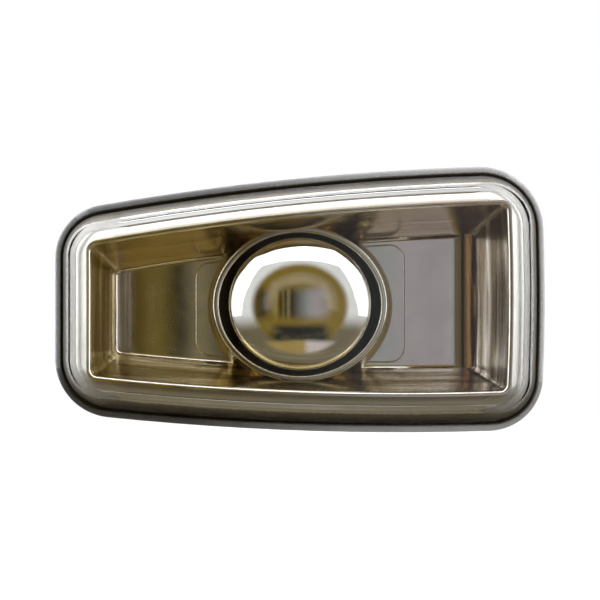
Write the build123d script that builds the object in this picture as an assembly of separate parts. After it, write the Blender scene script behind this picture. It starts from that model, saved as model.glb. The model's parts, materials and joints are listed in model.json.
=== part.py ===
from build123d import *
import os
from math import atan2, cos, sin, sqrt

# Side repeater lamp for a car's wing, in millimetres. It is drawn as it sits on the panel: x along the lamp,
# y up, z out of the panel, the panel's skin at z = 0 and the bulb's axis through the origin.
# UPRIGHT_ANGLE then turns it so that it faces -Y with +Z up.
UPRIGHT_ANGLE = 90.0

# Outline of the lens on the panel: corner heights above and below the bulb's axis, before rounding
LAMP_WIDTH = 88.0
NARROW_TOP = 16.3
NARROW_BOTTOM = 19.4
WIDE_TOP = 24.9
WIDE_BOTTOM = 22.5
TOP_BOW = 2.0
BOTTOM_BOW = 1.9
WIDE_BOW = 0.8
NARROW_TOP_CORNER = 9.8
NARROW_BOTTOM_CORNER = 10.6
WIDE_TOP_CORNER = 11.6
WIDE_BOTTOM_CORNER = 10.0
TIGHT_CORNER = 1.2

# Clearances between neighbours
SLIP = 0.2
CAVITY_GAP = 0.3
WIRE_GAP = 0.03

# Panel seal
SEAL_THICK = 1.2
SEAL_MARGIN = 0.3
SEAL_WIDTH = 3.4

# Lens: rounded rim, sloped shoulder, flat face, and the ledge inside that sits on the housing
RIM_HEIGHT = 3.0
RIM_INSET = 2.1
RIM_ROUND = 2.0
FACE_HEIGHT = 6.3
FACE_INSET = 4.1
FACE_ROUND = 0.7
LENS_WALL = 1.8
SKIRT_WALL = 1.8
CLAMP_WIDTH = 0.3

# Reflector: lip, bevel up to a rounded ridge, tray with a curved foot at its wide end, pad, oval collar and bowl
REFLECTOR_WALL = 1.4
LIP_THICK = 0.8
LIP_WIDTH = 0.3
RIDGE_GAP = 0.5
RIDGE_INSET = 7.5
RIDGE_ROUND = 0.6
RIDGE_FLAT = 0.05
TRAY_DEPTH = 11.6
TRAY_CORNER = 1.2
FLOOR_INSET = 11.0
NARROW_FLOOR_INSET = 8.1
FLOOR_ROUND = 0.8
WIDE_COVE = 4.5
PAD_WIDTH = 40.8
PAD_MARGIN = 1.0
PAD_HEIGHT = 0.5
PAD_CORNER = 3.0
PAD_ROUND = 0.4
COLLAR_HEIGHT = 7.0
COLLAR_WALL = 1.1
COLLAR_FLARE = 2.2
COLLAR_ROUND = 0.45
BOWL_END_GAP = 1.5
BOWL_TOP_GAP = 0.7
BOWL_FOOT_GAP = 0.4
BULB_OPENING_GAP = 2.1

# Bulb shield: oval crown with a rounded shoulder and a skirt on legs, and pegs through the bowl's floor
SHIELD_WIDTH = 26.6
SHIELD_HEIGHT = 24.6
SHIELD_DEPTH = 13.1
SHIELD_CROWN = 22.0
SHIELD_ROUND = 2.4
SHIELD_WALL = 1.2
SHIELD_GAP = 0.6
LEG_COUNT = 4
LEG_ANGLE = 45.0
LEG_LENGTH = 4.5
LEG_WIDTH = 7.0
PEG_WIDTH = 3.0
PEG_STAND = 0.8
PEG_GAP = 0.1

# Housing: flange welded into the lens, tub, well, hook, clip seat and ribs
FLANGE_THICK = 1.2
WELD_WIDTH = 0.8
HOUSING_WALL = 1.5
HOOK_WIDTH = 9.0
HOOK_INSET = 3.0
HOOK_GAP = 2.1
HOOK_THICK = 2.6
HOOK_LEAD_IN = 1.2
RIB_THICK = 1.2
RIB_OFFSET = 6.0
RIB_END_INSET = 14.0
RIB_STOP = 1.0

# Spring clip and its seat on the wide end
CLIP_THICK = 0.5
CLIP_WIDTH = 9.0
CLIP_ARM_WIDTH = 6.6
CLIP_SEAT_INSET = 6.0
CLIP_SEAT_TOP = 3.0
CLIP_FOLD = 2.2
CLIP_PEAK_INSET = 2.6
CLIP_PEAK_DEPTH = 5.2
CLIP_TIP_INSET = 4.8
CLIP_TIP_DEPTH = 2.6
CLIP_BEND = 0.9
GUIDE_WALL = 1.2
GUIDE_LIP = 0.8
GUIDE_GAP = 0.15

# Bayonet between housing and bulb holder
HOLE_RADIUS = 8.5
TURN_GAP = 0.3
LUG_COUNT = 3
LUG_REACH = 1.4
LUG_WIDTH = 5.0
LUG_THICK = 1.4
LUG_PLAY = 0.2
LOCKED_ANGLE = 90.0
UNLOCK_TURN = 45.0
STOP_SWING = 26.0
STOP_SIZE = 1.2

# Bulb holder: cover, connector shroud, finger grips and latch ramp
WASHER_THICK = 1.4
WASHER_WIDTH = 2.7
WASHER_GAP = 0.1
COVER_MARGIN = 0.8
COVER_THICK = 2.0
COVER_ROUND = 0.5
SHROUD_WIDTH = 15.0
SHROUD_HEIGHT = 8.4
SHROUD_WALL = 1.2
SHROUD_CORNER = 2.0
SHROUD_DEPTH = 10.0
SHROUD_FLOOR = 1.8
GRIP_THICK = 2.0
GRIP_LENGTH = 8.0
LATCH_WIDTH = 4.0
LATCH_HEIGHT = 1.0
LATCH_LENGTH = 2.6
LATCH_SETBACK = 2.0

# Wedge bulb
BULB_LENGTH = 26.6
BULB_RADIUS = 4.9
BULB_GAP = 2.7
GLASS_WALL = 0.7
NECK_LENGTH = 2.2
PINCH_LENGTH = 8.0
PINCH_WIDTH = 9.4
PINCH_THICK = 2.1
PINCH_ROUND = 0.4
SOCKET_GAP = 0.3
LEAD_RADIUS = 0.25
LEAD_SPACING = 6.4
LEAD_FOLD = 0.65
LEAD_BEND = 0.55
LEAD_TAIL = 5.0
FILAMENT_DROP = 6.4
FILAMENT_RADIUS = 0.25
FILAMENT_OVERHANG = 0.3
BEAD_RADIUS = 0.8
BEAD_DROP = 11.5
BEAD_OVERHANG = 0.5

# Contacts: sprung leaf in the socket, jog under the wedge, blade in the shroud
CONTACT_WIDTH = 2.8
CONTACT_THICK = 0.4
CONTACT_SPACING = 8.0
CONTACT_GAP = 0.15
CONTACT_BEND = 0.3
LEAF_FLARE = 0.6
LEAF_TOP_DROP = 1.2
LEAF_PINCH_HEIGHT = 4.4
LEAF_FOOT_HEIGHT = 0.8
BLADE_THICK = 0.8
BLADE_LENGTH = 8.0

# Heights along z, from the panel outwards
lens_base = SEAL_THICK
rim_z = lens_base + RIM_HEIGHT
face_z = lens_base + FACE_HEIGHT
lens_in_z = face_z - LENS_WALL
shoulder_z = lens_base + FLANGE_THICK
ledge_z = shoulder_z - LIP_THICK
ridge_z = lens_in_z - RIDGE_GAP
floor_z = ridge_z - TRAY_DEPTH
floor_back_z = floor_z - REFLECTOR_WALL
collar_z = floor_z + COLLAR_HEIGHT
shield_top_z = lens_in_z - SHIELD_GAP
skirt_z = shield_top_z - SHIELD_DEPTH
bowl_z = skirt_z - LEG_LENGTH
bowl_back_z = bowl_z - REFLECTOR_WALL
peg_z = bowl_back_z - PEG_STAND
cup_z = floor_z + COLLAR_HEIGHT / 2

# Heights of the housing and of the holder behind it
tub_floor_z = floor_back_z - CAVITY_GAP
tub_back_z = tub_floor_z - HOUSING_WALL
lug_z = bowl_back_z - CAVITY_GAP
bayonet_z = lug_z - LUG_THICK - LUG_PLAY
rear_z = bayonet_z - HOUSING_WALL
washer_z = rear_z - WASHER_GAP
cover_z = washer_z - WASHER_THICK
cover_back_z = cover_z - COVER_THICK
bulb_tip_z = shield_top_z - SHIELD_WALL - BULB_GAP
pinch_z = bulb_tip_z - BULB_LENGTH
pinch_top_z = pinch_z + PINCH_LENGTH
neck_z = pinch_top_z + NECK_LENGTH
lead_low_z = pinch_z - LEAD_FOLD
socket_z = lead_low_z - LEAD_RADIUS - SLIP
jog_z = socket_z - CONTACT_THICK
shroud_floor_z = jog_z - CONTACT_THICK - SHROUD_FLOOR
shroud_end_z = shroud_floor_z - SHROUD_DEPTH

# Insets of edges from the outline
weld_inset = SKIRT_WALL + SLIP
seat_inset = weld_inset + WELD_WIDTH
lip_inset = seat_inset + SLIP
clamp_inset = lip_inset + CLAMP_WIDTH
bevel_inset = lip_inset + LIP_WIDTH
ridge_land = RIDGE_ROUND + RIDGE_FLAT

# Distance from the tray and the bowl to the housing's inner walls
tub_grow = REFLECTOR_WALL + CAVITY_GAP

# Radii about the bulb's axis
well_reach = SHIELD_WIDTH / 2 + BOWL_FOOT_GAP + tub_grow
tower_radius = HOLE_RADIUS - TURN_GAP
lug_radius = HOLE_RADIUS + LUG_REACH
washer_bore = tower_radius + WASHER_GAP
washer_radius = washer_bore + WASHER_WIDTH
cover_radius = washer_radius + COVER_MARGIN


def bow_circle(left_y, right_y, bow, side):
    """Centre and radius of a long edge's arc; side is 1 for the top edge and -1 for the bottom edge."""
    left = Vector(-LAMP_WIDTH / 2, left_y)
    right = Vector(LAMP_WIDTH / 2, right_y)
    chord = right - left
    radius = (chord.length**2 / 4 + bow**2) / (2 * bow)
    outward = Vector(-chord.Y, chord.X).normalized() * side
    return (left + right) * 0.5 - outward * (radius - bow), radius


def long_edge(left_y, right_y, bow, side, inset, narrow_inset):
    """Arc of a long edge, moved in by inset, from end to end."""
    centre, radius = bow_circle(left_y, right_y, bow, side)

    def point(x):
        return Vector(x, centre.Y + side * sqrt((radius - inset) ** 2 - (x - centre.X) ** 2))

    return ThreePointArc(point(narrow_inset - LAMP_WIDTH / 2), point(0), point(LAMP_WIDTH / 2 + WIDE_BOW))


def wide_end(inset):
    """Disc whose edge is the bowed wide end, moved in by inset."""
    half_chord = (WIDE_TOP + WIDE_BOTTOM) / 2
    radius = (half_chord**2 + WIDE_BOW**2) / (2 * WIDE_BOW)
    return Pos(LAMP_WIDTH / 2 - radius, (WIDE_TOP - WIDE_BOTTOM) / 2) * Circle(radius - inset)


def outline(inset, narrow_inset=None, corner=None):
    """Face inside the lamp's outline, moved in by inset, or by another inset at the narrow end.
    Its corners are rounded about the outline's own centres, or to one radius."""
    if narrow_inset is None:
        narrow_inset = inset
    top = long_edge(NARROW_TOP, WIDE_TOP, TOP_BOW, 1, inset, narrow_inset)
    bottom = long_edge(-NARROW_BOTTOM, -WIDE_BOTTOM, BOTTOM_BOW, -1, inset, narrow_inset)
    face = make_face([top, bottom, Line(top @ 0, bottom @ 0), Line(top @ 1, bottom @ 1)]) & wide_end(inset)
    corners = (
        (top @ 0, NARROW_TOP_CORNER),
        (bottom @ 0, NARROW_BOTTOM_CORNER),
        (top @ 1, WIDE_TOP_CORNER),
        (bottom @ 1, WIDE_BOTTOM_CORNER),
    )
    for tip, own_corner in corners:
        radius = corner or max(own_corner - inset, TIGHT_CORNER)
        face = fillet(face.vertices().sort_by_distance(tip)[0], radius)
    return face


def prism(inset, low, high):
    """Straight-sided solid on the outline."""
    return Pos(0, 0, low) * extrude(outline(inset), high - low)


def band(inset, z, far_inset, far_z):
    """Solid that tapers from the outline at one height to the outline at another."""
    return loft([Pos(0, 0, z) * outline(inset), Pos(0, 0, far_z) * outline(far_inset)], ruled=True)


def tube(radius, low, high):
    """Round bar about the bulb's axis."""
    return Pos(0, 0, low) * Cylinder(radius, high - low, align=(Align.CENTER, Align.CENTER, Align.MIN))


def block(x_range, y_range, z_range):
    """Box between two values on each axis."""
    spans = (x_range, y_range, z_range)
    middle = [(low + high) / 2 for low, high in spans]
    return Pos(*middle) * Box(*[high - low for low, high in spans])


def spokes(count, first_angle, radius, width, low, high):
    """Bars from the bulb's axis out to a radius, evenly spaced."""
    bar = block((0, radius), (-width / 2, width / 2), (low, high))
    bars = [Rot(Z=first_angle + turn * 360 / count) * bar for turn in range(count)]
    return tube(radius, low, high) & sum(bars[1:], bars[0])


def both_ways(piece):
    """The piece and its copy turned half round the bulb's axis."""
    return piece + Rot(Z=180) * piece


def tray_inset(z, floor_inset=FLOOR_INSET):
    """Inset of the tray's sloped inner wall at a height."""
    return RIDGE_INSET + (floor_inset - RIDGE_INSET) * (ridge_z - z) / TRAY_DEPTH


def tray_outline(z, grow):
    """Outline of the tray's inner wall at a height, with grow added all round."""
    face = outline(tray_inset(z) - grow, tray_inset(z, NARROW_FLOOR_INSET) - grow, TRAY_CORNER + grow)
    return Pos(0, 0, z) * face


def tray_form(low, high, grow):
    """Solid of the tray's form between two heights, with grow added all round."""
    return loft([tray_outline(low, grow), tray_outline(high, grow)], ruled=True)


def shield_oval(grow):
    """Oval of the bulb shield's outside, with grow added all round."""
    return Ellipse(SHIELD_WIDTH / 2 + grow, SHIELD_HEIGHT / 2 + grow)


def bowl_section(z, grow):
    """Bowl's oval section at a height, drafted from the collar's top down to the bowl's floor."""
    share = min(max((collar_z - z) / (collar_z - bowl_z), 0), 1)
    end_gap = BOWL_END_GAP * (1 - share) + BOWL_FOOT_GAP * share
    top_gap = BOWL_TOP_GAP * (1 - share) + BOWL_FOOT_GAP * share
    return Pos(0, 0, z) * Ellipse(SHIELD_WIDTH / 2 + end_gap + grow, SHIELD_HEIGHT / 2 + top_gap + grow)


def bowl_form(low, high, grow):
    """Solid of the bowl's form between two heights, with grow added all round."""
    steps = [low] + [z for z in (bowl_z, collar_z) if low < z < high] + [high]
    return loft([bowl_section(z, grow) for z in steps], ruled=True)


def rounded_bar(width, height, corner, low, high):
    """Upright bar with a rounded rectangular section."""
    return Pos(0, 0, low) * extrude(RectangleRounded(width, height, corner), high - low)


def make_panel_seal():
    return prism(SEAL_MARGIN, 0, SEAL_THICK) - prism(SEAL_MARGIN + SEAL_WIDTH, 0, SEAL_THICK)


def make_lens():
    rim = prism(0, lens_base, rim_z)
    rim = fillet(rim.faces().sort_by(Axis.Z)[-1].edges(), RIM_ROUND)
    body = band(RIM_INSET, rim_z, FACE_INSET, face_z)
    body = fillet(body.faces().sort_by(Axis.Z)[-1].edges(), FACE_ROUND)
    slope = (FACE_INSET - RIM_INSET) / (face_z - rim_z)
    inner_inset = clamp_inset + slope * (lens_in_z - shoulder_z)
    lens = rim + body
    lens -= prism(SKIRT_WALL, lens_base, shoulder_z)
    return lens - band(clamp_inset, shoulder_z, inner_inset, lens_in_z)


def leg_slots(width, gap, low, high):
    """Pieces of the shield's wall below the dome, evenly spaced, with gap added all round."""
    ring = extrude(shield_oval(gap) - shield_oval(-SHIELD_WALL - gap), high - low)
    return Pos(0, 0, low) * ring & spokes(LEG_COUNT, LEG_ANGLE, SHIELD_WIDTH, width + 2 * gap, low, high)


def dome_form(inset):
    """Oval bar under a crowned top with a rounded shoulder, moved in by inset."""
    crown = SHIELD_CROWN - inset
    ball = scale(Sphere(1), by=(crown * SHIELD_WIDTH / SHIELD_HEIGHT, crown, crown))
    bar = Pos(0, 0, skirt_z) * extrude(shield_oval(-inset), SHIELD_DEPTH)
    form = bar & Pos(0, 0, shield_top_z - SHIELD_CROWN) * ball
    return fillet(form.faces().sort_by(Axis.Z)[-1].edges(), SHIELD_ROUND - inset)


def make_bulb_shield():
    legs = leg_slots(LEG_WIDTH, 0, bowl_z, skirt_z)
    pegs = leg_slots(PEG_WIDTH, 0, peg_z, bowl_z)
    return dome_form(0) - dome_form(SHIELD_WALL) + legs + pegs


def make_cove():
    """Curved foot that joins the tray's floor to its wide end wall."""
    lean = atan2(FLOOR_INSET - RIDGE_INSET, TRAY_DEPTH)
    corner_x = LAMP_WIDTH / 2 - FLOOR_INSET
    centre = Vector(corner_x - WIDE_COVE * (1 - sin(lean)) / cos(lean), floor_z + WIDE_COVE)
    on_floor = centre - Vector(0, WIDE_COVE)
    on_wall = centre + Vector(cos(lean), -sin(lean)) * WIDE_COVE
    halfway = centre + Vector(cos(lean), -1 - sin(lean)).normalized() * WIDE_COVE
    section = make_face(
        [
            ThreePointArc(on_floor, halfway, on_wall),
            Polyline(
                on_wall,
                on_wall + Vector(REFLECTOR_WALL, 0),
                Vector(on_wall.X + REFLECTOR_WALL, floor_back_z),
                Vector(on_floor.X, floor_back_z),
                on_floor,
            ),
        ]
    )
    return extrude(Plane.XZ * section, LAMP_WIDTH / 2, both=True)


def make_collar():
    """Oval collar round the bowl's mouth, flared towards the tray's floor, with a rounded rim."""
    foot = Pos(0, 0, floor_z - collar_z) * bowl_section(collar_z, COLLAR_WALL + COLLAR_FLARE)
    collar = loft([foot, bowl_section(collar_z, COLLAR_WALL)], ruled=True) - bowl_form(bowl_z, collar_z, 0)
    return fillet(collar.faces().sort_by(Axis.Z)[-1].edges(), COLLAR_ROUND)


def make_reflector():
    lip = prism(lip_inset, ledge_z, shoulder_z)
    bevel_foot = Pos(0, 0, shoulder_z) * outline(bevel_inset)
    bevel = loft([bevel_foot, tray_outline(ridge_z, ridge_land)], ruled=True)
    tray = tray_form(floor_back_z, ledge_z, REFLECTOR_WALL)
    hollow = tray_form(floor_z, ridge_z, 0)
    hollow = fillet(hollow.faces().sort_by(Axis.Z)[0].edges(), FLOOR_ROUND)
    pad_outline = outline(FLOOR_INSET + PAD_MARGIN) & Rectangle(PAD_WIDTH, LAMP_WIDTH)
    pad_outline = fillet(pad_outline.vertices(), PAD_CORNER)
    pad = Pos(0, 0, floor_z) * extrude(pad_outline, PAD_HEIGHT)
    pad = fillet(pad.faces().sort_by(Axis.Z)[-1].edges(), PAD_ROUND)
    cup = bowl_form(bowl_back_z, cup_z, REFLECTOR_WALL)
    reflector = lip + bevel + tray - hollow
    land = reflector.faces().sort_by(Axis.Z)[-1]
    reflector = fillet(land.inner_wires()[0].edges(), RIDGE_ROUND)
    reflector += (make_cove() & tray) + pad + cup
    reflector -= bowl_form(bowl_z, ridge_z, 0)
    reflector += make_collar() & tray_form(floor_z, ridge_z, REFLECTOR_WALL)
    reflector -= tube(BULB_RADIUS + BULB_OPENING_GAP, bowl_back_z, bowl_z)
    return reflector - leg_slots(PEG_WIDTH, PEG_GAP, bowl_back_z, bowl_z)


def make_hook():
    """Fixed hook on the narrow end, reaching behind the panel."""
    tip_x = HOOK_INSET - LAMP_WIDTH / 2
    root_x = tray_inset(-HOOK_GAP - HOOK_THICK, NARROW_FLOOR_INSET) - tub_grow - LAMP_WIDTH / 2
    front, back = -HOOK_GAP, -HOOK_GAP - HOOK_THICK
    section = Polyline(
        (root_x, front),
        (tip_x, front),
        (tip_x, back + HOOK_LEAD_IN),
        (tip_x + HOOK_LEAD_IN, back),
        (root_x, back),
        close=True,
    )
    hook = extrude(Plane.XZ * make_face(section), HOOK_WIDTH / 2, both=True)
    return Pos(0, (NARROW_TOP - NARROW_BOTTOM) / 2, 0) * hook


clip_face_x = LAMP_WIDTH / 2 - CLIP_SEAT_INSET
clip_y = (WIDE_TOP - WIDE_BOTTOM) / 2


def make_clip_seat():
    """Pad on the wide end with two lipped guides that hold the clip's leg."""
    root_x = LAMP_WIDTH / 2 - tray_inset(tub_back_z) + tub_grow
    z_range = (tub_back_z, -CLIP_SEAT_TOP)
    inner_y = CLIP_WIDTH / 2 + GUIDE_GAP
    outer_y = inner_y + GUIDE_WALL
    lip_x = clip_face_x + CLIP_THICK + GUIDE_GAP
    seat = block((root_x, clip_face_x), (-outer_y, outer_y), z_range)
    for side in (-1, 1):
        wall_y = sorted((side * inner_y, side * outer_y))
        lip_y = sorted((side * (CLIP_WIDTH / 2 - GUIDE_LIP), side * outer_y))
        seat += block((clip_face_x, lip_x + GUIDE_WALL), wall_y, z_range)
        seat += block((lip_x, lip_x + GUIDE_WALL), lip_y, z_range)
    return Pos(0, clip_y, 0) * seat


def make_retaining_clip():
    leg_x = clip_face_x + CLIP_THICK / 2
    leg_low_z = tub_back_z - CLIP_BEND
    path = FilletPolyline(
        (leg_x, -CLIP_SEAT_TOP),
        (leg_x, leg_low_z),
        (leg_x + CLIP_FOLD, leg_low_z),
        (LAMP_WIDTH / 2 - CLIP_PEAK_INSET, -CLIP_PEAK_DEPTH),
        (LAMP_WIDTH / 2 - CLIP_TIP_INSET, -CLIP_TIP_DEPTH),
        radius=CLIP_BEND,
    )
    arm = extrude(Plane.XZ * trace(path, CLIP_THICK), CLIP_ARM_WIDTH / 2, both=True)
    leg = block(
        (clip_face_x, clip_face_x + CLIP_THICK),
        (-CLIP_WIDTH / 2, CLIP_WIDTH / 2),
        (tub_back_z, -CLIP_SEAT_TOP),
    )
    return Pos(0, clip_y, 0) * (arm + leg)


def make_ribs():
    """Gussets from the well to the back of the tub."""
    foot_z = tub_floor_z - HOUSING_WALL / 2
    crest_z = rear_z + RIB_STOP
    reach_x = LAMP_WIDTH / 2 - RIB_END_INSET
    section = Polyline((0, foot_z), (reach_x, foot_z), (well_reach, crest_z), (0, crest_z), close=True)
    rib = extrude(Plane.XZ * make_face(section), RIB_THICK / 2, both=True)
    pair = Pos(0, RIB_OFFSET, 0) * rib + Pos(0, -RIB_OFFSET, 0) * rib
    return both_ways(pair)


def make_stops():
    """Two stops on the bayonet wall that end the holder's turn."""
    radius = HOLE_RADIUS + LUG_REACH / 2 + TURN_GAP
    half = STOP_SIZE / 2
    stop = block((radius - half, radius + half), (-half, half), (bayonet_z, bayonet_z + LUG_THICK))
    angles = (LOCKED_ANGLE - STOP_SWING, LOCKED_ANGLE + UNLOCK_TURN + STOP_SWING)
    return [Rot(Z=angle) * stop for angle in angles]


def make_housing():
    flange = prism(weld_inset, lens_base, shoulder_z)
    tub = tray_form(tub_back_z, lens_base, tub_grow + HOUSING_WALL)
    well_top_z = cup_z + CAVITY_GAP
    well = bowl_form(rear_z, well_top_z + HOUSING_WALL, tub_grow + HOUSING_WALL)
    housing = flange + tub + well + make_hook() + make_clip_seat() + make_ribs()
    housing -= prism(seat_inset, ledge_z, shoulder_z)
    housing -= tray_form(tub_floor_z, ledge_z, tub_grow)
    housing -= bowl_form(bayonet_z, well_top_z, tub_grow)
    housing -= tube(HOLE_RADIUS, rear_z, bayonet_z)
    housing -= spokes(
        LUG_COUNT,
        LOCKED_ANGLE + UNLOCK_TURN,
        lug_radius + TURN_GAP,
        LUG_WIDTH + 2 * TURN_GAP,
        rear_z,
        bayonet_z,
    )
    for stop in make_stops():
        housing += stop
    return housing


def make_holder_seal():
    return tube(washer_radius, cover_z, washer_z) - tube(washer_bore, cover_z, washer_z)


leaf_y = PINCH_THICK / 2 + 2 * (LEAD_RADIUS + WIRE_GAP) + CONTACT_THICK / 2
leaf_back_y = leaf_y + LEAF_FLARE
contact_x = -CONTACT_SPACING / 2


def make_contact():
    """Left contact: leaf beside the wedge, jog under it, blade out into the shroud."""
    path = FilletPolyline(
        (leaf_back_y, pinch_top_z - LEAF_TOP_DROP),
        (leaf_y, pinch_z + LEAF_PINCH_HEIGHT),
        (leaf_back_y, pinch_z + LEAF_FOOT_HEIGHT),
        (leaf_back_y, jog_z),
        (0, jog_z),
        radius=CONTACT_BEND,
    )
    strip = extrude(Plane.YZ * trace(path, CONTACT_THICK), CONTACT_WIDTH / 2, both=True)
    blade = block(
        (-CONTACT_WIDTH / 2, CONTACT_WIDTH / 2),
        (-BLADE_THICK / 2, BLADE_THICK / 2),
        (shroud_floor_z - BLADE_LENGTH, jog_z + CONTACT_THICK / 2),
    )
    return Pos(contact_x, 0, 0) * (strip + blade)


def make_contact_space():
    """Room in the holder for the left contact."""
    half = CONTACT_WIDTH / 2 + CONTACT_GAP
    low_z = jog_z - CONTACT_THICK / 2 - CONTACT_GAP
    blade_y = BLADE_THICK / 2 + CONTACT_GAP
    leaf_room = block((-half, half), (-blade_y, leaf_back_y + CONTACT_THICK), (low_z, socket_z))
    leaf_room += block((-half, half), (0, leaf_back_y + CONTACT_THICK), (socket_z, pinch_top_z))
    blade_slot = block((-half, half), (-blade_y, blade_y), (shroud_floor_z, low_z))
    return Pos(contact_x, 0, 0) * (leaf_room + blade_slot)


def make_bulb_holder():
    outer_width = SHROUD_WIDTH + 2 * SHROUD_WALL
    outer_height = SHROUD_HEIGHT + 2 * SHROUD_WALL
    tower = tube(tower_radius, cover_z, lug_z)
    lugs = spokes(LUG_COUNT, LOCKED_ANGLE, lug_radius, LUG_WIDTH, lug_z - LUG_THICK, lug_z)
    cover = tube(cover_radius, cover_back_z, cover_z)
    cover = fillet(cover.edges().filter_by(GeomType.CIRCLE), COVER_ROUND)
    shroud = rounded_bar(outer_width, outer_height, SHROUD_CORNER + SHROUD_WALL, shroud_end_z, cover_back_z)
    grip_x = cover_radius - COVER_ROUND
    grip_z = (cover_back_z - GRIP_LENGTH, cover_back_z)
    grips = block((-grip_x, grip_x), (-GRIP_THICK / 2, GRIP_THICK / 2), grip_z)
    latch_low_z = shroud_end_z + LATCH_SETBACK
    ramp = Polyline(
        (outer_height / 2, latch_low_z),
        (outer_height / 2, latch_low_z + LATCH_LENGTH),
        (outer_height / 2 + LATCH_HEIGHT, latch_low_z + LATCH_LENGTH),
        close=True,
    )
    latch = extrude(Plane.YZ * make_face(ramp), LATCH_WIDTH / 2, both=True)
    holder = tower + lugs + cover + shroud + grips + latch
    holder -= tube(BULB_RADIUS + SOCKET_GAP, pinch_top_z, lug_z)
    wedge_x = PINCH_WIDTH / 2 + SOCKET_GAP
    wedge_y = PINCH_THICK / 2 + SOCKET_GAP
    holder -= block((-wedge_x, wedge_x), (-wedge_y, wedge_y), (socket_z, pinch_top_z))
    holder -= both_ways(make_contact_space())
    return holder - rounded_bar(SHROUD_WIDTH, SHROUD_HEIGHT, SHROUD_CORNER, shroud_end_z, shroud_floor_z)


def bulb_body(radius, tip_z, low_z):
    """Round-topped cylinder about the bulb's axis."""
    return tube(radius, low_z, tip_z - radius) + Pos(0, 0, tip_z - radius) * Sphere(radius)


def make_bulb_envelope():
    pinch_section = RectangleRounded(PINCH_WIDTH, PINCH_THICK, PINCH_ROUND)
    taper = Polyline(
        (-PINCH_THICK / 2, pinch_top_z),
        (PINCH_THICK / 2, pinch_top_z),
        (BULB_RADIUS, neck_z),
        (-BULB_RADIUS, neck_z),
        close=True,
    )
    neck = extrude(Plane.YZ * make_face(taper), PINCH_WIDTH / 2, both=True)
    neck &= tube(BULB_RADIUS, pinch_top_z, neck_z)
    pinch = Pos(0, 0, pinch_z) * extrude(pinch_section, PINCH_LENGTH)
    glass = bulb_body(BULB_RADIUS, bulb_tip_z, neck_z) + neck + pinch
    glass -= bulb_body(BULB_RADIUS - GLASS_WALL, bulb_tip_z - GLASS_WALL, neck_z)
    bore = Pos(LEAD_SPACING / 2, 0, 0) * tube(LEAD_RADIUS + WIRE_GAP, pinch_z, neck_z)
    return glass - both_ways(bore)


filament_z = bulb_tip_z - FILAMENT_DROP


def make_lead():
    """Left lead: up to the filament, down through the pinch and folded up its face."""
    x = -LEAD_SPACING / 2
    face_y = PINCH_THICK / 2 + LEAD_RADIUS + WIRE_GAP
    path = FilletPolyline(
        (x, 0, filament_z - FILAMENT_RADIUS - WIRE_GAP),
        (x, 0, lead_low_z),
        (x, face_y, lead_low_z),
        (x, face_y, pinch_z + LEAD_TAIL),
        radius=LEAD_BEND,
    )
    return sweep(Plane(path @ 0, z_dir=path % 0) * Circle(LEAD_RADIUS), path=path)


def cross_rod(radius, overhang, z):
    """Round rod along x that spans the two leads."""
    return Pos(0, 0, z) * Rot(Y=90) * Cylinder(radius, LEAD_SPACING + 2 * (LEAD_RADIUS + overhang))


def make_bulb_bead():
    z = bulb_tip_z - BEAD_DROP
    bead = cross_rod(BEAD_RADIUS, BEAD_OVERHANG, z)
    bore = Pos(LEAD_SPACING / 2, 0, 0) * tube(LEAD_RADIUS + WIRE_GAP, z - BEAD_RADIUS, z + BEAD_RADIUS)
    return bead - both_ways(bore)


contact = make_contact()
lead = make_lead()
pieces = {
    "panel_seal": make_panel_seal(),
    "lens": make_lens(),
    "reflector": make_reflector(),
    "bulb_shield": make_bulb_shield(),
    "housing": make_housing(),
    "retaining_clip": make_retaining_clip(),
    "bulb_holder": make_bulb_holder(),
    "holder_seal": make_holder_seal(),
    "contact_left": contact,
    "contact_right": Rot(Z=180) * contact,
    "bulb_envelope": make_bulb_envelope(),
    "bulb_lead_left": lead,
    "bulb_lead_right": Rot(Z=180) * lead,
    "bulb_filament": cross_rod(FILAMENT_RADIUS, FILAMENT_OVERHANG, filament_z),
    "bulb_bead": make_bulb_bead(),
}

os.makedirs("parts", exist_ok=True)
for name, piece in pieces.items():
    export_step(Rot(X=UPRIGHT_ANGLE) * piece, f"parts/{name}.step")
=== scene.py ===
import json
from math import cos, pi, radians, sin

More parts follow.
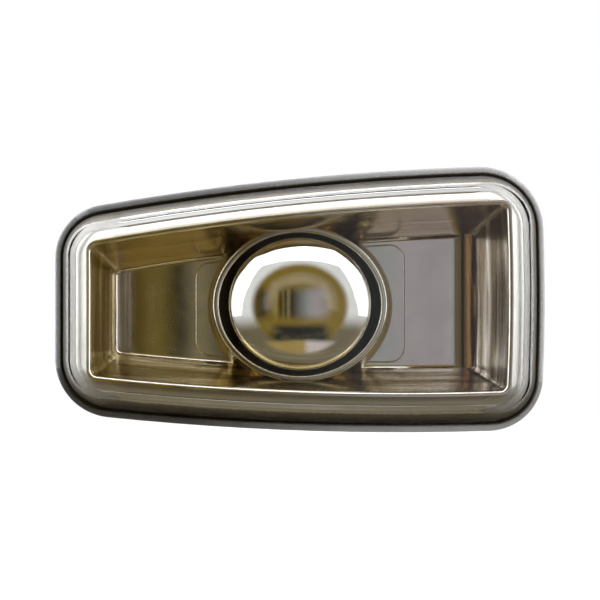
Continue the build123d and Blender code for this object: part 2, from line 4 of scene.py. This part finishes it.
import bpy
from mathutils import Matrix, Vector


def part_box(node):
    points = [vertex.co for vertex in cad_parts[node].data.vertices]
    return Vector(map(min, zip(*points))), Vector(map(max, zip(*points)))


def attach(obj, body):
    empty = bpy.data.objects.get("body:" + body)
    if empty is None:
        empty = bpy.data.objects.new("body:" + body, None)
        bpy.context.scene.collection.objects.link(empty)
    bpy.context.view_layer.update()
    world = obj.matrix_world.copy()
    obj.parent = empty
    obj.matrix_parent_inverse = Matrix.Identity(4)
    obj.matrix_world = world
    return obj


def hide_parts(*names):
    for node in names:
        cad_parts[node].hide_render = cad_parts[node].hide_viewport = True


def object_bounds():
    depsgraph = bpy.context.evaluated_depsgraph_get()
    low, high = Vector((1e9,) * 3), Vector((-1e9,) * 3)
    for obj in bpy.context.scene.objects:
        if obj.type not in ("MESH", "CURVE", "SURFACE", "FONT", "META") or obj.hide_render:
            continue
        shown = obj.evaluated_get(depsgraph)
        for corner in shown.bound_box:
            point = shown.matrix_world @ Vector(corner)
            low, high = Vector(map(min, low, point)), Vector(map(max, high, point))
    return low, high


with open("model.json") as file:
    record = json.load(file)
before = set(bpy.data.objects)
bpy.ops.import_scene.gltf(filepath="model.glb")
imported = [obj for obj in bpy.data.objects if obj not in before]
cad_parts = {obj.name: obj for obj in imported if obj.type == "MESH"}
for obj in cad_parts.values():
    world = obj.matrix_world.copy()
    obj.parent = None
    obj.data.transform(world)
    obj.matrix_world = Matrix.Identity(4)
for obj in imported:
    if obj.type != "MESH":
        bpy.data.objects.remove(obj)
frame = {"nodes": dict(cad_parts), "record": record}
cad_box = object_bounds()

# Looks of a side repeater lamp, in metres
# The lamp faces -Y with +Z up, and the origin lies on the panel's skin
# A STEP is where a soft change starts and where it ends, and a NOISE has its waves per metre
# A lean is how far a face looks along an axis: on Y it is -1 out of the lamp's front and 1 to its back

# Camera: square to the lamp's face, in front of the bulb's axis and a little below it
CAMERA_DISTANCE = 0.100
CAMERA_SIDE = 0.0
CAMERA_RISE = -0.0042
CAMERA_TILT = 90.0
CAMERA_NEAR = 0.001
PICTURE_WIDTH = 0.1094
PICTURE_SIDE = 0.0
PICTURE_RISE = 0.00075
SENSOR_WIDTH = 0.036
MM_PER_M = 1000

# Floor: a pale round that fades out, below the lamp
FLOOR_DROP = 0.055
FLOOR_RADIUS = 0.45
FLOOR_SOLID_RADIUS = 0.10
FLOOR_SEGMENTS = 96
FLOOR_COLOUR = (0.80, 0.80, 0.80)

# Lens and reflector: distance from the middle at which their ends start, and the fade between finishes
ENDS_STEP = (0.030, 0.036)
EDGE_FADE = 0.0002

# Lens: clear acrylic with faint ripples and dull patches
LENS_IOR = 1.49
LENS_COLOUR = (0.975, 0.98, 0.965)
LENS_ROUGHNESS = (0.006, 0.035)
LENS_DULL_NOISE = {"waves": 180, "detail": 5}
LENS_DULL_STEP = (0.45, 0.75)
LENS_RIPPLE_NOISE = {"waves": 110, "detail": 1}
LENS_RIPPLE_DEPTH = 0.00002

# Lens shoulder: frosted outer slope, smoked towards the flat face, and frosted foot of the inner slope
FROST_ROUGHNESS = 0.65
OUTER_SLOPE_STEPS = ((-0.30, -0.40), (-0.85, -0.75))
INNER_SLOPE_STEPS = ((0.30, 0.40), (0.85, 0.75))
FOOT_FRONTS = (-0.0037, -0.0060)
SMOKE_COLOUR = (0.27, 0.215, 0.14)
SMOKE_STEP = (-0.0048, -0.0056)

# Lens rim: milky, and more so towards the wide end, where the growing haze is a painted pale reflection
RIM_FRONT = -0.0042
HAZE_COLOUR = (0.80, 0.79, 0.80)
HAZE_AND_PAINTED_REFLECTION_SHARES = (0.03, 0.22)
HAZE_PAINTED_REFLECTION_STEP = (-0.025, 0.030)
HAZE_LEAN_STEP = (0.1, 0.0)

# Reflector: metallised film, a little duller in patches
FILM_COLOUR = (0.86, 0.85, 0.83)
FILM_DULL_SHARE = 0.92
FILM_NOISE = {"waves": 140, "detail": 4}
FILM_STEP = (0.35, 0.7)
FILM_ROUGHNESS = (0.05, 0.09)
GLOSS_NOISE = {"waves": 300, "detail": 4}
GLOSS_STEP = (0.3, 0.7)

# Reflector border: bare plastic up to a depth, outside the bright film
BARE_COLOUR = (0.25, 0.21, 0.165)
BARE_ROUGHNESS = 0.55
BARE_FRONTS = (-0.0038, -0.0028)
BARE_BACK = -0.0021
BARE_REACH = 0.0160
BARE_LEAN_STEP = (-0.5, -0.6)

# Reflector walls: satin, with drawn streaks in their surface; their yellow tint at the narrow end, grey tint
# at the wide end and dark streak colours are painted reflection, and the bottom wall is darker than the top
# one as painted shade
WALL_LEAN_STEP = (0.60, 0.45)
WALL_ROUGHNESS = 0.24
WALL_PAINTED_REFLECTION_COLOURS = ((0.74, 0.63, 0.38), (0.78, 0.72, 0.66))
WALL_PAINTED_TINT_STEP = (0.0, 0.030)
STREAK_PAINTED_REFLECTION_COLOURS = ((0.27, 0.195, 0.06), (0.20, 0.155, 0.095))
STREAK_NOISE = {"waves": 420, "detail": 3, "stretch": (0.04, 1, 0.04)}
PAINTED_STREAK_STEP = (0.34, 0.58)
STREAK_DEPTH = 0.0002
TOP_WALL_STEP = (-0.6, -0.3)
TOP_WALL_PAINTED_SHADE = (0.2, 1.0)
BOTTOM_WALL_STEP = (0.3, 0.6)
BOTTOM_WALL_PAINTED_SHADE = (0.0, 0.4)

# Reflector cove: painted shade, a dark brown on the curved foot of the tray's wide end
COVE_PAINTED_SHADE_COLOUR = (0.10, 0.055, 0.018)
COVE_LEAN_STEPS = ((-0.98, -0.92), (-0.40, -0.60))
COVE_DEPTH_STEP = (-0.0018, -0.0014)
COVE_SIDE_STEP = (0.020, 0.022)

# Dome: chrome with a faint ripple
CHROME_COLOUR = (0.90, 0.89, 0.87)
CHROME_ROUGHNESS = (0.02, 0.05)
CHROME_RIPPLE_NOISE = {"waves": 300, "detail": 2}
CHROME_RIPPLE_DEPTH = 0.000008

# Moulded plastics: cloudy flow marks, pale specks and fine grain
FLOW_NOISE = {"waves": 90, "detail": 4, "stretch": (1, 1, 3)}
FLOW_STEP = (0.35, 0.75)
SPECK_NOISE = {"waves": 2600, "detail": 2}
SPECK_STEP = (0.55, 0.8)
GRAIN_NOISE = {"waves": 3200, "detail": 2}
PLASTICS = {
    "housing_black": {
        "colours": ((0.022, 0.022, 0.024), (0.05, 0.05, 0.052)),
        "rough": (0.38, 0.5),
        "grain": 0.00002,
    },
    "holder_grey": {
        "colours": ((0.19, 0.19, 0.20), (0.30, 0.30, 0.31)),
        "rough": (0.45, 0.6),
        "grain": 0.000015,
    },
}

# Rubber: black, dusty in patches, with fine pores; the seal's face under the lens has pale and brown patches
# of painted reflection
RUBBER_SPECULAR = 0.35
RUBBER_COLOURS = ((0.014, 0.014, 0.015), (0.045, 0.043, 0.04))
RUBBER_ROUGHNESS = (0.62, 0.85)
DUST_NOISE = {"waves": 400, "detail": 6}
DUST_STEP = (0.5, 0.8)
PORE_NOISE = {"waves": 2200, "detail": 4}
PORE_DEPTH = 0.00003
SEAL_FACE_STEP = (-0.8, -0.95)
SEAL_PAINTED_REFLECTION_COLOURS = ((0.05, 0.035, 0.02), (0.24, 0.22, 0.20))
SEAL_PAINTED_REFLECTION_NOISE = {"waves": 60, "detail": 3}
SEAL_PAINTED_REFLECTION_STEP = (0.35, 0.65)

# Rolled and drawn metals: clean and stained colours, roughness, and how lines stretch along each axis
LINE_NOISE = {"waves": 5000, "detail": 3}
LINE_STEP = (0.3, 0.7)
LINE_DEPTH = 0.000006
TARNISH_NOISE = {"waves": 220, "detail": 5}
TARNISH_STEP = (0.45, 0.75)
METALS = {
    "spring_steel": {
        "colours": ((0.56, 0.55, 0.53), (0.36, 0.33, 0.30)),
        "rough": (0.22, 0.38),
        "along": (0.05, 0.05, 1),
    },
    "contact_brass": {
        "colours": ((0.80, 0.60, 0.27), (0.45, 0.30, 0.14)),
        "rough": (0.2, 0.36),
        "along": (1, 0.05, 0.3),
    },
    "lead_wire": {
        "colours": ((0.62, 0.56, 0.50), (0.42, 0.33, 0.27)),
        "rough": (0.25, 0.4),
        "along": (1, 0.05, 1),
    },
    "filament_wire": {
        "colours": ((0.30, 0.30, 0.31), (0.16, 0.16, 0.18)),
        "rough": (0.35, 0.5),
        "along": (1, 1, 1),
    },
}

# Glass of the bulb: colour and roughness
GLASS_IOR = 1.5
GLASS_HAZE_NOISE = {"waves": 300, "detail": 4}
GLASS_HAZE_STEP = (0.4, 0.75)
GLASS_RIPPLE_NOISE = {"waves": 220, "detail": 1}
GLASS_RIPPLE_DEPTH = 0.00002
GLASSES = {
    "amber_glass": {"colour": (0.98, 0.46, 0.06), "rough": (0.01, 0.05)},
    "bead_glass": {"colour": (0.82, 0.90, 0.87), "rough": (0.02, 0.06)},
}

# Filament: coil of fine wire in the place of the plain rod, with its wire's radius as a share of the coil's
COIL_TURNS = 16
COIL_STEPS = 16
COIL_WIRE_SHARE = 0.18
COIL_WIRE_SIDES = 2

# Soft boxes: place, size and light given off, where 1 is white
LIGHT_BOXES = {
    "top": {"place": (0.0, 0.0, 0.55), "size": (1.3, 1.0), "white": 1.4},
    "left": {"place": (-0.60, 0.0, 0.22), "size": (1.0, 0.74), "white": 1.4},
    "right": {"place": (0.60, 0.0, 0.22), "size": (1.0, 0.74), "white": 1.4},
}

# Room by direction: white backdrop behind, pale round the sides and top, dim below
BACKDROP_STEP = (0.80, 0.90)
ROOM_WHITE = (0.92, 0.93, 0.95)
ROOM_LOW = (0.18, 0.15, 0.09)
ROOM_LOW_STEP = (-0.08, -0.42)

# Room in front of the lamp: olive, with a dark patch low in the middle and lighter tones further down
FRONT_STEP = (-0.67, -0.77)
FRONT_OLIVE = (0.22, 0.15, 0.02)
FRONT_BROWN = (0.030, 0.015, 0.003)
FRONT_LILAC = (0.35, 0.315, 0.335)
SHADE_COLOUR = (0.008, 0.012, 0.010)
SHADE_TOP_STEP = (-0.26, -0.42)
SHADE_FOOT_STEP = (-0.74, -0.60)
SHADE_SIDE_STEP = (0.54, 0.30)
BELOW_COLOURS = ((0.38, 0.27, 0.09), (0.62, 0.54, 0.52))
BELOW_TOP_STEP = (-0.54, -0.64)
BELOW_FRONT_STEP = (-0.60, -0.68)
BELOW_SIDE_STEP = (0.02, 0.15)

# Upright bands of that room near its level, each with the sideways share of the direction at which it starts
BAND_LEVEL = 0.04
BAND_STEP = (0.14, 0.36)
FRONT_BANDS = (
    (-0.80, FRONT_OLIVE),
    (-0.55, FRONT_BROWN),
    (-0.36, (0.270, 0.190, 0.030)),
    (-0.30, (0.050, 0.027, 0.006)),
    (-0.25, (0.165, 0.120, 0.028)),
    (-0.215, (0.020, 0.018, 0.010)),
    (-0.18, (0.210, 0.175, 0.100)),
    (-0.12, FRONT_BROWN),
    (0.15, (0.30, 0.31, 0.31)),
    (0.19, FRONT_LILAC),
    (0.29, FRONT_LILAC),
    (0.50, FRONT_OLIVE),
    (0.60, FRONT_OLIVE),
)


def add_node(tree, kind, inputs=None, **settings):
    """Adds a shader node and fills its sockets with values or with other nodes' outputs."""
    made = tree.nodes.new(kind)
    for name, value in settings.items():
        setattr(made, name, value)
    for socket, value in (inputs or {}).items():
        fill(tree, made.inputs[socket], value)
    return made


def fill(tree, socket, value):
    """Links an output into a socket, or sets the socket's value."""
    if isinstance(value, bpy.types.NodeSocket):
        tree.links.new(value, socket)
    else:
        socket.default_value = value


def rgba(colour):
    return (*colour, 1.0)


def remap(tree, value, low, high, to_low=0.0, to_high=1.0, smooth=True):
    """Value moved from one range to another, held at the ends."""
    kind = "SMOOTHSTEP" if smooth else "LINEAR"
    inputs = {"Value": value, "From Min": low, "From Max": high, "To Min": to_low, "To Max": to_high}
    return add_node(tree, "ShaderNodeMapRange", inputs, interpolation_type=kind).outputs["Result"]


def math_node(tree, operation, first, second=0.0):
    return add_node(tree, "ShaderNodeMath", {0: first, 1: second}, operation=operation).outputs[0]


def product(tree, share, *others):
    """Shares multiplied together."""
    for other in others:
        share = math_node(tree, "MULTIPLY", share, other)
    return share


def larger(tree, first, second):
    return math_node(tree, "MAXIMUM", first, second)


def unsigned(tree, value):
    return math_node(tree, "ABSOLUTE", value)


def mix_colour(tree, share, first, second):
    """Colour between two others."""
    made = add_node(tree, "ShaderNodeMix", data_type="RGBA")
    sockets = {s.identifier: s for s in made.inputs}
    fill(tree, sockets["Factor_Float"], share)
    for name, colour in (("A_Color", first), ("B_Color", second)):
        fill(tree, sockets[name], colour if isinstance(colour, bpy.types.NodeSocket) else rgba(colour))
    return next(s for s in made.outputs if s.identifier == "Result_Color")


def ramp(tree, value, stops):
    """Colour along a row of stops, given as places and colours in rising order."""
    low, high = stops[0][0], stops[-1][0]
    made = add_node(tree, "ShaderNodeValToRGB", {0: remap(tree, value, low, high, smooth=False)})
    elements = made.color_ramp.elements
    elements[0].color = rgba(stops[0][1])
    elements[1].color = rgba(stops[-1][1])
    for place, colour in stops[1:-1]:
        elements.new((place - low) / (high - low)).color = rgba(colour)
    return made.outputs["Color"]


def own_place(tree):
    """The piece's own coordinates."""
    return add_node(tree, "ShaderNodeTexCoord").outputs["Object"]


def split(tree, vector):
    return add_node(tree, "ShaderNodeSeparateXYZ", {0: vector}).outputs


def noise(tree, waves, detail, stretch=(1, 1, 1)):
    """Noise over the piece's own coordinates."""
    place = {"Vector": own_place(tree), "Scale": stretch}
    spread = add_node(tree, "ShaderNodeMapping", place).outputs["Vector"]
    inputs = {"Vector": spread, "Scale": waves, "Detail": detail}
    return add_node(tree, "ShaderNodeTexNoise", inputs).outputs["Fac"]


def bump(tree, height, depth):
    """Surface normal for a height field of a given depth."""
    return add_node(tree, "ShaderNodeBump", {"Height": height, "Distance": depth}).outputs["Normal"]


def face_lean(tree, axis):
    """How far a face looks along an axis, from -1 to 1, on whichever side of it the light arrives."""
    geometry = add_node(tree, "ShaderNodeNewGeometry").outputs
    facing = remap(tree, geometry["Backfacing"], 0, 1, 1, -1, smooth=False)
    return product(tree, split(tree, geometry["True Normal"])[axis], facing)


def new_material(name, **values):
    """Material whose shader has the given constant values; returns it with its node tree and shader."""
    material = bpy.data.materials.new(name)
    material.use_nodes = True
    tree = material.node_tree
    shader = tree.nodes["Principled BSDF"]
    for socket, value in values.items():
        shader.inputs[socket.replace("_", " ")].default_value = value
    return material, tree, shader


def drive(tree, shader, **links):
    """Fills the shader's sockets with textures."""
    for socket, value in links.items():
        fill(tree, shader.inputs[socket.replace("_", " ")], value)


def shoulder(tree):
    """Shares of frost and smoke on the lens's sloped shoulder."""
    axes = split(tree, own_place(tree))
    lean = face_lean(tree, "Y")
    outside = product(tree, *(remap(tree, lean, *step) for step in OUTER_SLOPE_STEPS))
    inside = product(tree, *(remap(tree, lean, *step) for step in INNER_SLOPE_STEPS))
    foot_front = remap(tree, unsigned(tree, axes["X"]), *ENDS_STEP, *FOOT_FRONTS)
    past_foot = math_node(tree, "SUBTRACT", axes["Y"], foot_front)
    slope = product(tree, outside, remap(tree, axes["Y"], RIM_FRONT, RIM_FRONT - EDGE_FADE))
    foot = product(tree, inside, remap(tree, past_foot, -EDGE_FADE, EDGE_FADE))
    smoke = product(tree, slope, remap(tree, axes["Y"], *SMOKE_STEP))
    return larger(tree, slope, foot), smoke


def rim_haze_and_painted_reflection(tree):
    """Share of milky haze in the lens's rim; its growth towards the wide end is a painted pale reflection.
    """
    axes = split(tree, own_place(tree))
    share = remap(tree, axes["X"], *HAZE_PAINTED_REFLECTION_STEP, *HAZE_AND_PAINTED_REFLECTION_SHARES)
    behind_rim = remap(tree, axes["Y"], RIM_FRONT, RIM_FRONT + EDGE_FADE)
    outside = remap(tree, face_lean(tree, "Y"), *HAZE_LEAN_STEP)
    return product(tree, share, behind_rim, outside)


def lens_clear():
    """Clear acrylic with faint moulding waves, a few dull patches, a frosted shoulder, and a milky rim whose
    paler wide end is painted reflection.
    """
    material, tree, shader = new_material("lens_clear", IOR=LENS_IOR)
    # milky haze, growing towards the wide end as a painted pale reflection
    haze = rim_haze_and_painted_reflection(tree)
    frost, smoke = shoulder(tree)
    tone = mix_colour(tree, smoke, mix_colour(tree, haze, LENS_COLOUR, HAZE_COLOUR), SMOKE_COLOUR)
    clear = math_node(tree, "SUBTRACT", 1.0, haze)
    dull = remap(tree, noise(tree, **LENS_DULL_NOISE), *LENS_DULL_STEP, *LENS_ROUGHNESS)
    dull = larger(tree, dull, product(tree, frost, FROST_ROUGHNESS))
    ripple = bump(tree, noise(tree, **LENS_RIPPLE_NOISE), LENS_RIPPLE_DEPTH)
    drive(tree, shader, Base_Color=tone, Transmission_Weight=clear, Roughness=dull, Normal=ripple)
    return material


def bare_border(tree):
    """1 on the reflector's border under the lens's shoulder, where the bright film ends, else 0."""
    place = own_place(tree)
    axes = split(tree, place)
    front = remap(tree, unsigned(tree, axes["X"]), *ENDS_STEP, *BARE_FRONTS)
    past_front = math_node(tree, "SUBTRACT", axes["Y"], front)
    flat = add_node(tree, "ShaderNodeVectorMath", {0: place, 1: (1, 0, 1)}, operation="MULTIPLY").outputs[0]
    reach = add_node(tree, "ShaderNodeVectorMath", {0: flat}, operation="LENGTH").outputs["Value"]
    return product(
        tree,
        remap(tree, past_front, -EDGE_FADE, 0.0),
        remap(tree, axes["Y"], BARE_BACK, BARE_BACK - EDGE_FADE),
        remap(tree, reach, BARE_REACH, BARE_REACH + EDGE_FADE),
        remap(tree, face_lean(tree, "Y"), *BARE_LEAN_STEP),
    )


def curved_foot(tree):
    """1 on the curved foot of the tray's wide end, else 0."""
    axes = split(tree, own_place(tree))
    lean = face_lean(tree, "Y")
    deep = remap(tree, axes["Y"], *COVE_DEPTH_STEP)
    wide = remap(tree, axes["X"], *COVE_SIDE_STEP)
    return product(tree, deep, wide, *(remap(tree, lean, *step) for step in COVE_LEAN_STEPS))


def metal_film(tree, colour):
    """Colour of a vacuum-metallised film, a little duller in patches."""
    patch = remap(tree, noise(tree, **FILM_NOISE), *FILM_STEP)
    return mix_colour(tree, patch, colour, [c * FILM_DULL_SHARE for c in colour])


def gloss(tree, rough):
    """Roughness of a bright film within its range."""
    return remap(tree, noise(tree, **GLOSS_NOISE), *GLOSS_STEP, *rough)


def painted_wall_reflection(tree, streaks):
    """Painted reflection on the tray's walls: tinted and streaked, with painted shade that keeps the top
    wall lighter and the bottom one darker.
    """
    up = face_lean(tree, "Z")
    painted_light_share = remap(tree, streaks, *PAINTED_STREAK_STEP)
    painted_light_share = larger(tree, painted_light_share, remap(tree, up, *BOTTOM_WALL_STEP, *BOTTOM_WALL_PAINTED_SHADE))
    painted_light_share = product(tree, painted_light_share, remap(tree, up, *TOP_WALL_STEP, *TOP_WALL_PAINTED_SHADE))
    wide = remap(tree, split(tree, own_place(tree))["X"], *WALL_PAINTED_TINT_STEP)
    painted_tint = mix_colour(tree, wide, *WALL_PAINTED_REFLECTION_COLOURS)
    return mix_colour(tree, painted_light_share, painted_tint, mix_colour(tree, wide, *STREAK_PAINTED_REFLECTION_COLOURS))


def reflector_bright():
    """Metallised plastic: a mirror on the faces that look out, satin with drawn streaks on the walls, which
    are coloured with painted reflection and painted shade.
    """
    material, tree, shader = new_material("reflector_bright")
    wall = remap(tree, unsigned(tree, face_lean(tree, "Y")), *WALL_LEAN_STEP)
    bare = bare_border(tree)
    streaks = noise(tree, **STREAK_NOISE)
    # the walls' colour is painted reflection and painted shade, not the film's own
    film = mix_colour(tree, wall, metal_film(tree, FILM_COLOUR), painted_wall_reflection(tree, streaks))
    # painted shade: the cove's curved foot is darkened to brown
    film = mix_colour(tree, curved_foot(tree), film, COVE_PAINTED_SHADE_COLOUR)
    tone = mix_colour(tree, bare, film, BARE_COLOUR)
    metal = math_node(tree, "SUBTRACT", 1.0, bare)
    rough = larger(tree, gloss(tree, FILM_ROUGHNESS), product(tree, wall, WALL_ROUGHNESS))
    rough = larger(tree, rough, product(tree, bare, BARE_ROUGHNESS))
    surface = bump(tree, product(tree, streaks, wall), STREAK_DEPTH)
    drive(tree, shader, Base_Color=tone, Metallic=metal, Roughness=rough, Normal=surface)
    return material


def shield_bright():
    """Chromed dome: a clean mirror with a faint ripple."""
    material, tree, shader = new_material("shield_bright", Metallic=1.0)
    tone = metal_film(tree, CHROME_COLOUR)
    ripple = bump(tree, noise(tree, **CHROME_RIPPLE_NOISE), CHROME_RIPPLE_DEPTH)
    drive(tree, shader, Base_Color=tone, Roughness=gloss(tree, CHROME_ROUGHNESS), Normal=ripple)
    return material


def moulded(name, colours, rough, grain):
    """Moulded plastic with spark-eroded grain and cloudy flow marks."""
    material, tree, shader = new_material(name)
    flow = remap(tree, noise(tree, **FLOW_NOISE), *FLOW_STEP)
    speck = remap(tree, noise(tree, **SPECK_NOISE), *SPECK_STEP)
    tone = mix_colour(tree, product(tree, flow, speck), *colours)
    surface = bump(tree, noise(tree, **GRAIN_NOISE), grain)
    drive(tree, shader, Base_Color=tone, Roughness=remap(tree, flow, 0, 1, *rough), Normal=surface)
    return material


def rubber(name, painted_reflection_face=False):
    """Soft black rubber, dusty in patches, with patches of painted reflection on the face under the lens
    where it has one.
    """
    material, tree, shader = new_material(name, Specular_IOR_Level=RUBBER_SPECULAR)
    dust = remap(tree, noise(tree, **DUST_NOISE), *DUST_STEP)
    tone = mix_colour(tree, dust, *RUBBER_COLOURS)
    if painted_reflection_face:
        # painted reflection: pale and brown patches on the seal's face under the lens
        face = remap(tree, face_lean(tree, "Y"), *SEAL_FACE_STEP)
        painted_light_share = remap(tree, noise(tree, **SEAL_PAINTED_REFLECTION_NOISE), *SEAL_PAINTED_REFLECTION_STEP)
        tone = mix_colour(tree, face, tone, mix_colour(tree, painted_light_share, *SEAL_PAINTED_REFLECTION_COLOURS))
    surface = bump(tree, noise(tree, **PORE_NOISE), PORE_DEPTH)
    rough = remap(tree, dust, 0, 1, *RUBBER_ROUGHNESS)
    drive(tree, shader, Base_Color=tone, Roughness=rough, Normal=surface)
    return material


def rolled_metal(name, colours, rough, along):
    """Rolled or drawn metal with lines along its length and darker stains."""
    material, tree, shader = new_material(name, Metallic=1.0)
    lines = noise(tree, **LINE_NOISE, stretch=along)
    tarnish = remap(tree, noise(tree, **TARNISH_NOISE), *TARNISH_STEP)
    tone = mix_colour(tree, tarnish, *colours)
    finish = remap(tree, lines, *LINE_STEP, *rough)
    drive(tree, shader, Base_Color=tone, Roughness=finish, Normal=bump(tree, lines, LINE_DEPTH))
    return material


def tinted_glass(name, colour, rough):
    """Blown glass, clear or tinted, with a slight wave."""
    values = {"Base_Color": rgba(colour), "Transmission_Weight": 1.0, "IOR": GLASS_IOR}
    material, tree, shader = new_material(name, **values)
    haze = remap(tree, noise(tree, **GLASS_HAZE_NOISE), *GLASS_HAZE_STEP, *rough)
    ripple = bump(tree, noise(tree, **GLASS_RIPPLE_NOISE), GLASS_RIPPLE_DEPTH)
    drive(tree, shader, Roughness=haze, Normal=ripple)
    return material


def make_materials():
    """The materials, by their slots in the record."""
    made = {
        "lens_clear": lens_clear(),
        "reflector_bright": reflector_bright(),
        "shield_bright": shield_bright(),
        "seal_rubber": rubber("seal_rubber", painted_reflection_face=True),
        "washer_rubber": rubber("washer_rubber"),
    }
    for build, looks in ((moulded, PLASTICS), (rolled_metal, METALS), (tinted_glass, GLASSES)):
        for name, look in looks.items():
            made[name] = build(name, **look)
    return made


def dress_nodes(made):
    """Gives each solid the material of its slot in the record."""
    for part in frame["record"]["subparts"]:
        for slot in frame["nodes"][part["node"]].material_slots:
            slot.material = made[part["material_slot"]]


def make_filament_coil(material):
    """Coil of fine wire between the bulb's leads."""
    low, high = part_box("bulb_filament")
    middle = (low + high) / 2
    outer = (high.z - low.z) / 2
    wire = outer * COIL_WIRE_SHARE
    last = COIL_TURNS * COIL_STEPS
    curve = bpy.data.curves.new("filament_coil", "CURVE")
    curve.dimensions = "3D"
    curve.bevel_depth = wire
    curve.bevel_resolution = COIL_WIRE_SIDES
    curve.use_fill_caps = True
    spline = curve.splines.new("POLY")
    spline.points.add(last)
    for index, point in enumerate(spline.points):
        angle = 2 * pi * index / COIL_STEPS
        along = low.x + wire + (high.x - low.x - 2 * wire) * index / last
        across = (outer - wire) * cos(angle)
        up = (outer - wire) * sin(angle)
        point.co = (along, middle.y + across, middle.z + up, 1)
    coil = bpy.data.objects.new("filament_coil", curve)
    bpy.context.scene.collection.objects.link(coil)
    curve.materials.append(material)
    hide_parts("bulb_filament")
    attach(coil, "holder")


def front_tone(tree, axes):
    """Colour of the room in front of the lamp: bands near its level, olive and a dark patch off it."""
    off_level = unsigned(tree, math_node(tree, "SUBTRACT", axes["Z"], BAND_LEVEL))
    shade = product(
        tree,
        remap(tree, axes["Z"], *SHADE_TOP_STEP),
        remap(tree, axes["Z"], *SHADE_FOOT_STEP),
        remap(tree, unsigned(tree, axes["X"]), *SHADE_SIDE_STEP),
    )
    far = mix_colour(tree, shade, FRONT_OLIVE, SHADE_COLOUR)
    return mix_colour(tree, remap(tree, off_level, *BAND_STEP), ramp(tree, axes["X"], FRONT_BANDS), far)


def make_world():
    """Room seen by the lamp: white round the back, top and sides, dim and warm in front."""
    world = bpy.data.worlds.new("room")
    bpy.context.scene.world = world
    world.use_nodes = True
    tree = world.node_tree
    tree.nodes.clear()
    axes = split(tree, add_node(tree, "ShaderNodeTexCoord").outputs["Generated"])
    around = mix_colour(tree, remap(tree, axes["Z"], *ROOM_LOW_STEP), ROOM_WHITE, ROOM_LOW)
    room = mix_colour(tree, remap(tree, axes["Y"], *FRONT_STEP), around, front_tone(tree, axes))
    below = product(tree, remap(tree, axes["Z"], *BELOW_TOP_STEP), remap(tree, axes["Y"], *BELOW_FRONT_STEP))
    below_tone = mix_colour(tree, remap(tree, axes["X"], *BELOW_SIDE_STEP), *BELOW_COLOURS)
    room = mix_colour(tree, below, room, below_tone)
    path = add_node(tree, "ShaderNodeLightPath").outputs
    bounced = larger(tree, path["Is Glossy Ray"], path["Is Transmission Ray"])
    behind = remap(tree, axes["Y"], *BACKDROP_STEP)
    seen = larger(tree, path["Is Camera Ray"], product(tree, bounced, behind))
    colour = mix_colour(tree, seen, room, (1, 1, 1))
    light = add_node(tree, "ShaderNodeBackground", {"Color": colour, "Strength": 1.0}).outputs[0]
    add_node(tree, "ShaderNodeOutputWorld", {"Surface": light})


def make_soft_boxes():
    """Large soft lights above and at both ends, each facing the lamp."""
    for name, box in LIGHT_BOXES.items():
        data = bpy.data.lights.new(f"soft_box_{name}", "AREA")
        data.shape = "RECTANGLE"
        data.size, data.size_y = box["size"]
        data.energy = box["white"] * pi * data.size * data.size_y
        light = bpy.data.objects.new(data.name, data)
        light.location = box["place"]
        light.rotation_mode = "QUATERNION"
        light.rotation_quaternion = (-Vector(box["place"])).to_track_quat("-Z", "Y")
        light.visible_camera = False
        bpy.context.scene.collection.objects.link(light)


def floor_material():
    """Pale matt floor that fades into the white backdrop."""
    material = bpy.data.materials.new("floor_pale")
    material.use_nodes = True
    tree = material.node_tree
    tree.nodes.clear()
    reach = add_node(tree, "ShaderNodeVectorMath", {0: own_place(tree)}, operation="LENGTH").outputs["Value"]
    fade = remap(tree, reach, FLOOR_SOLID_RADIUS, FLOOR_RADIUS)
    pale = add_node(tree, "ShaderNodeBsdfDiffuse", {"Color": rgba(FLOOR_COLOUR)}).outputs[0]
    clear = add_node(tree, "ShaderNodeBsdfTransparent").outputs[0]
    mixed = add_node(tree, "ShaderNodeMixShader", {0: fade, 1: pale, 2: clear}).outputs[0]
    add_node(tree, "ShaderNodeOutputMaterial", {"Surface": mixed})
    return material


def make_floor():
    bpy.ops.mesh.primitive_circle_add(vertices=FLOOR_SEGMENTS, radius=FLOOR_RADIUS, fill_type="NGON")
    floor = bpy.context.object
    floor.name = "floor"
    low, high = cad_box
    floor.location = ((low.x + high.x) / 2, (low.y + high.y) / 2, low.z - FLOOR_DROP)
    floor.data.materials.append(floor_material())
    floor.visible_glossy = False
    floor.visible_transmission = False


def make_camera():
    """Camera square to the lamp's face, at the distance its perspective shows."""
    base_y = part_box("panel_seal")[0].y
    data = bpy.data.cameras.new("camera")
    data.sensor_width = SENSOR_WIDTH * MM_PER_M
    data.lens = SENSOR_WIDTH * MM_PER_M * CAMERA_DISTANCE / PICTURE_WIDTH
    data.clip_start = CAMERA_NEAR
    camera = bpy.data.objects.new("camera", data)
    camera.location = (CAMERA_SIDE, base_y - CAMERA_DISTANCE, CAMERA_RISE)
    camera.rotation_euler = (radians(CAMERA_TILT), 0, 0)
    data.shift_x = (PICTURE_SIDE - CAMERA_SIDE) / PICTURE_WIDTH
    data.shift_y = (PICTURE_RISE - CAMERA_RISE) / PICTURE_WIDTH
    bpy.context.scene.collection.objects.link(camera)
    bpy.context.scene.camera = camera


materials = make_materials()
dress_nodes(materials)
make_filament_coil(materials["filament_wire"])
make_world()
make_soft_boxes()
make_floor()
make_camera()
bpy.context.scene.view_settings.view_transform = "Standard"
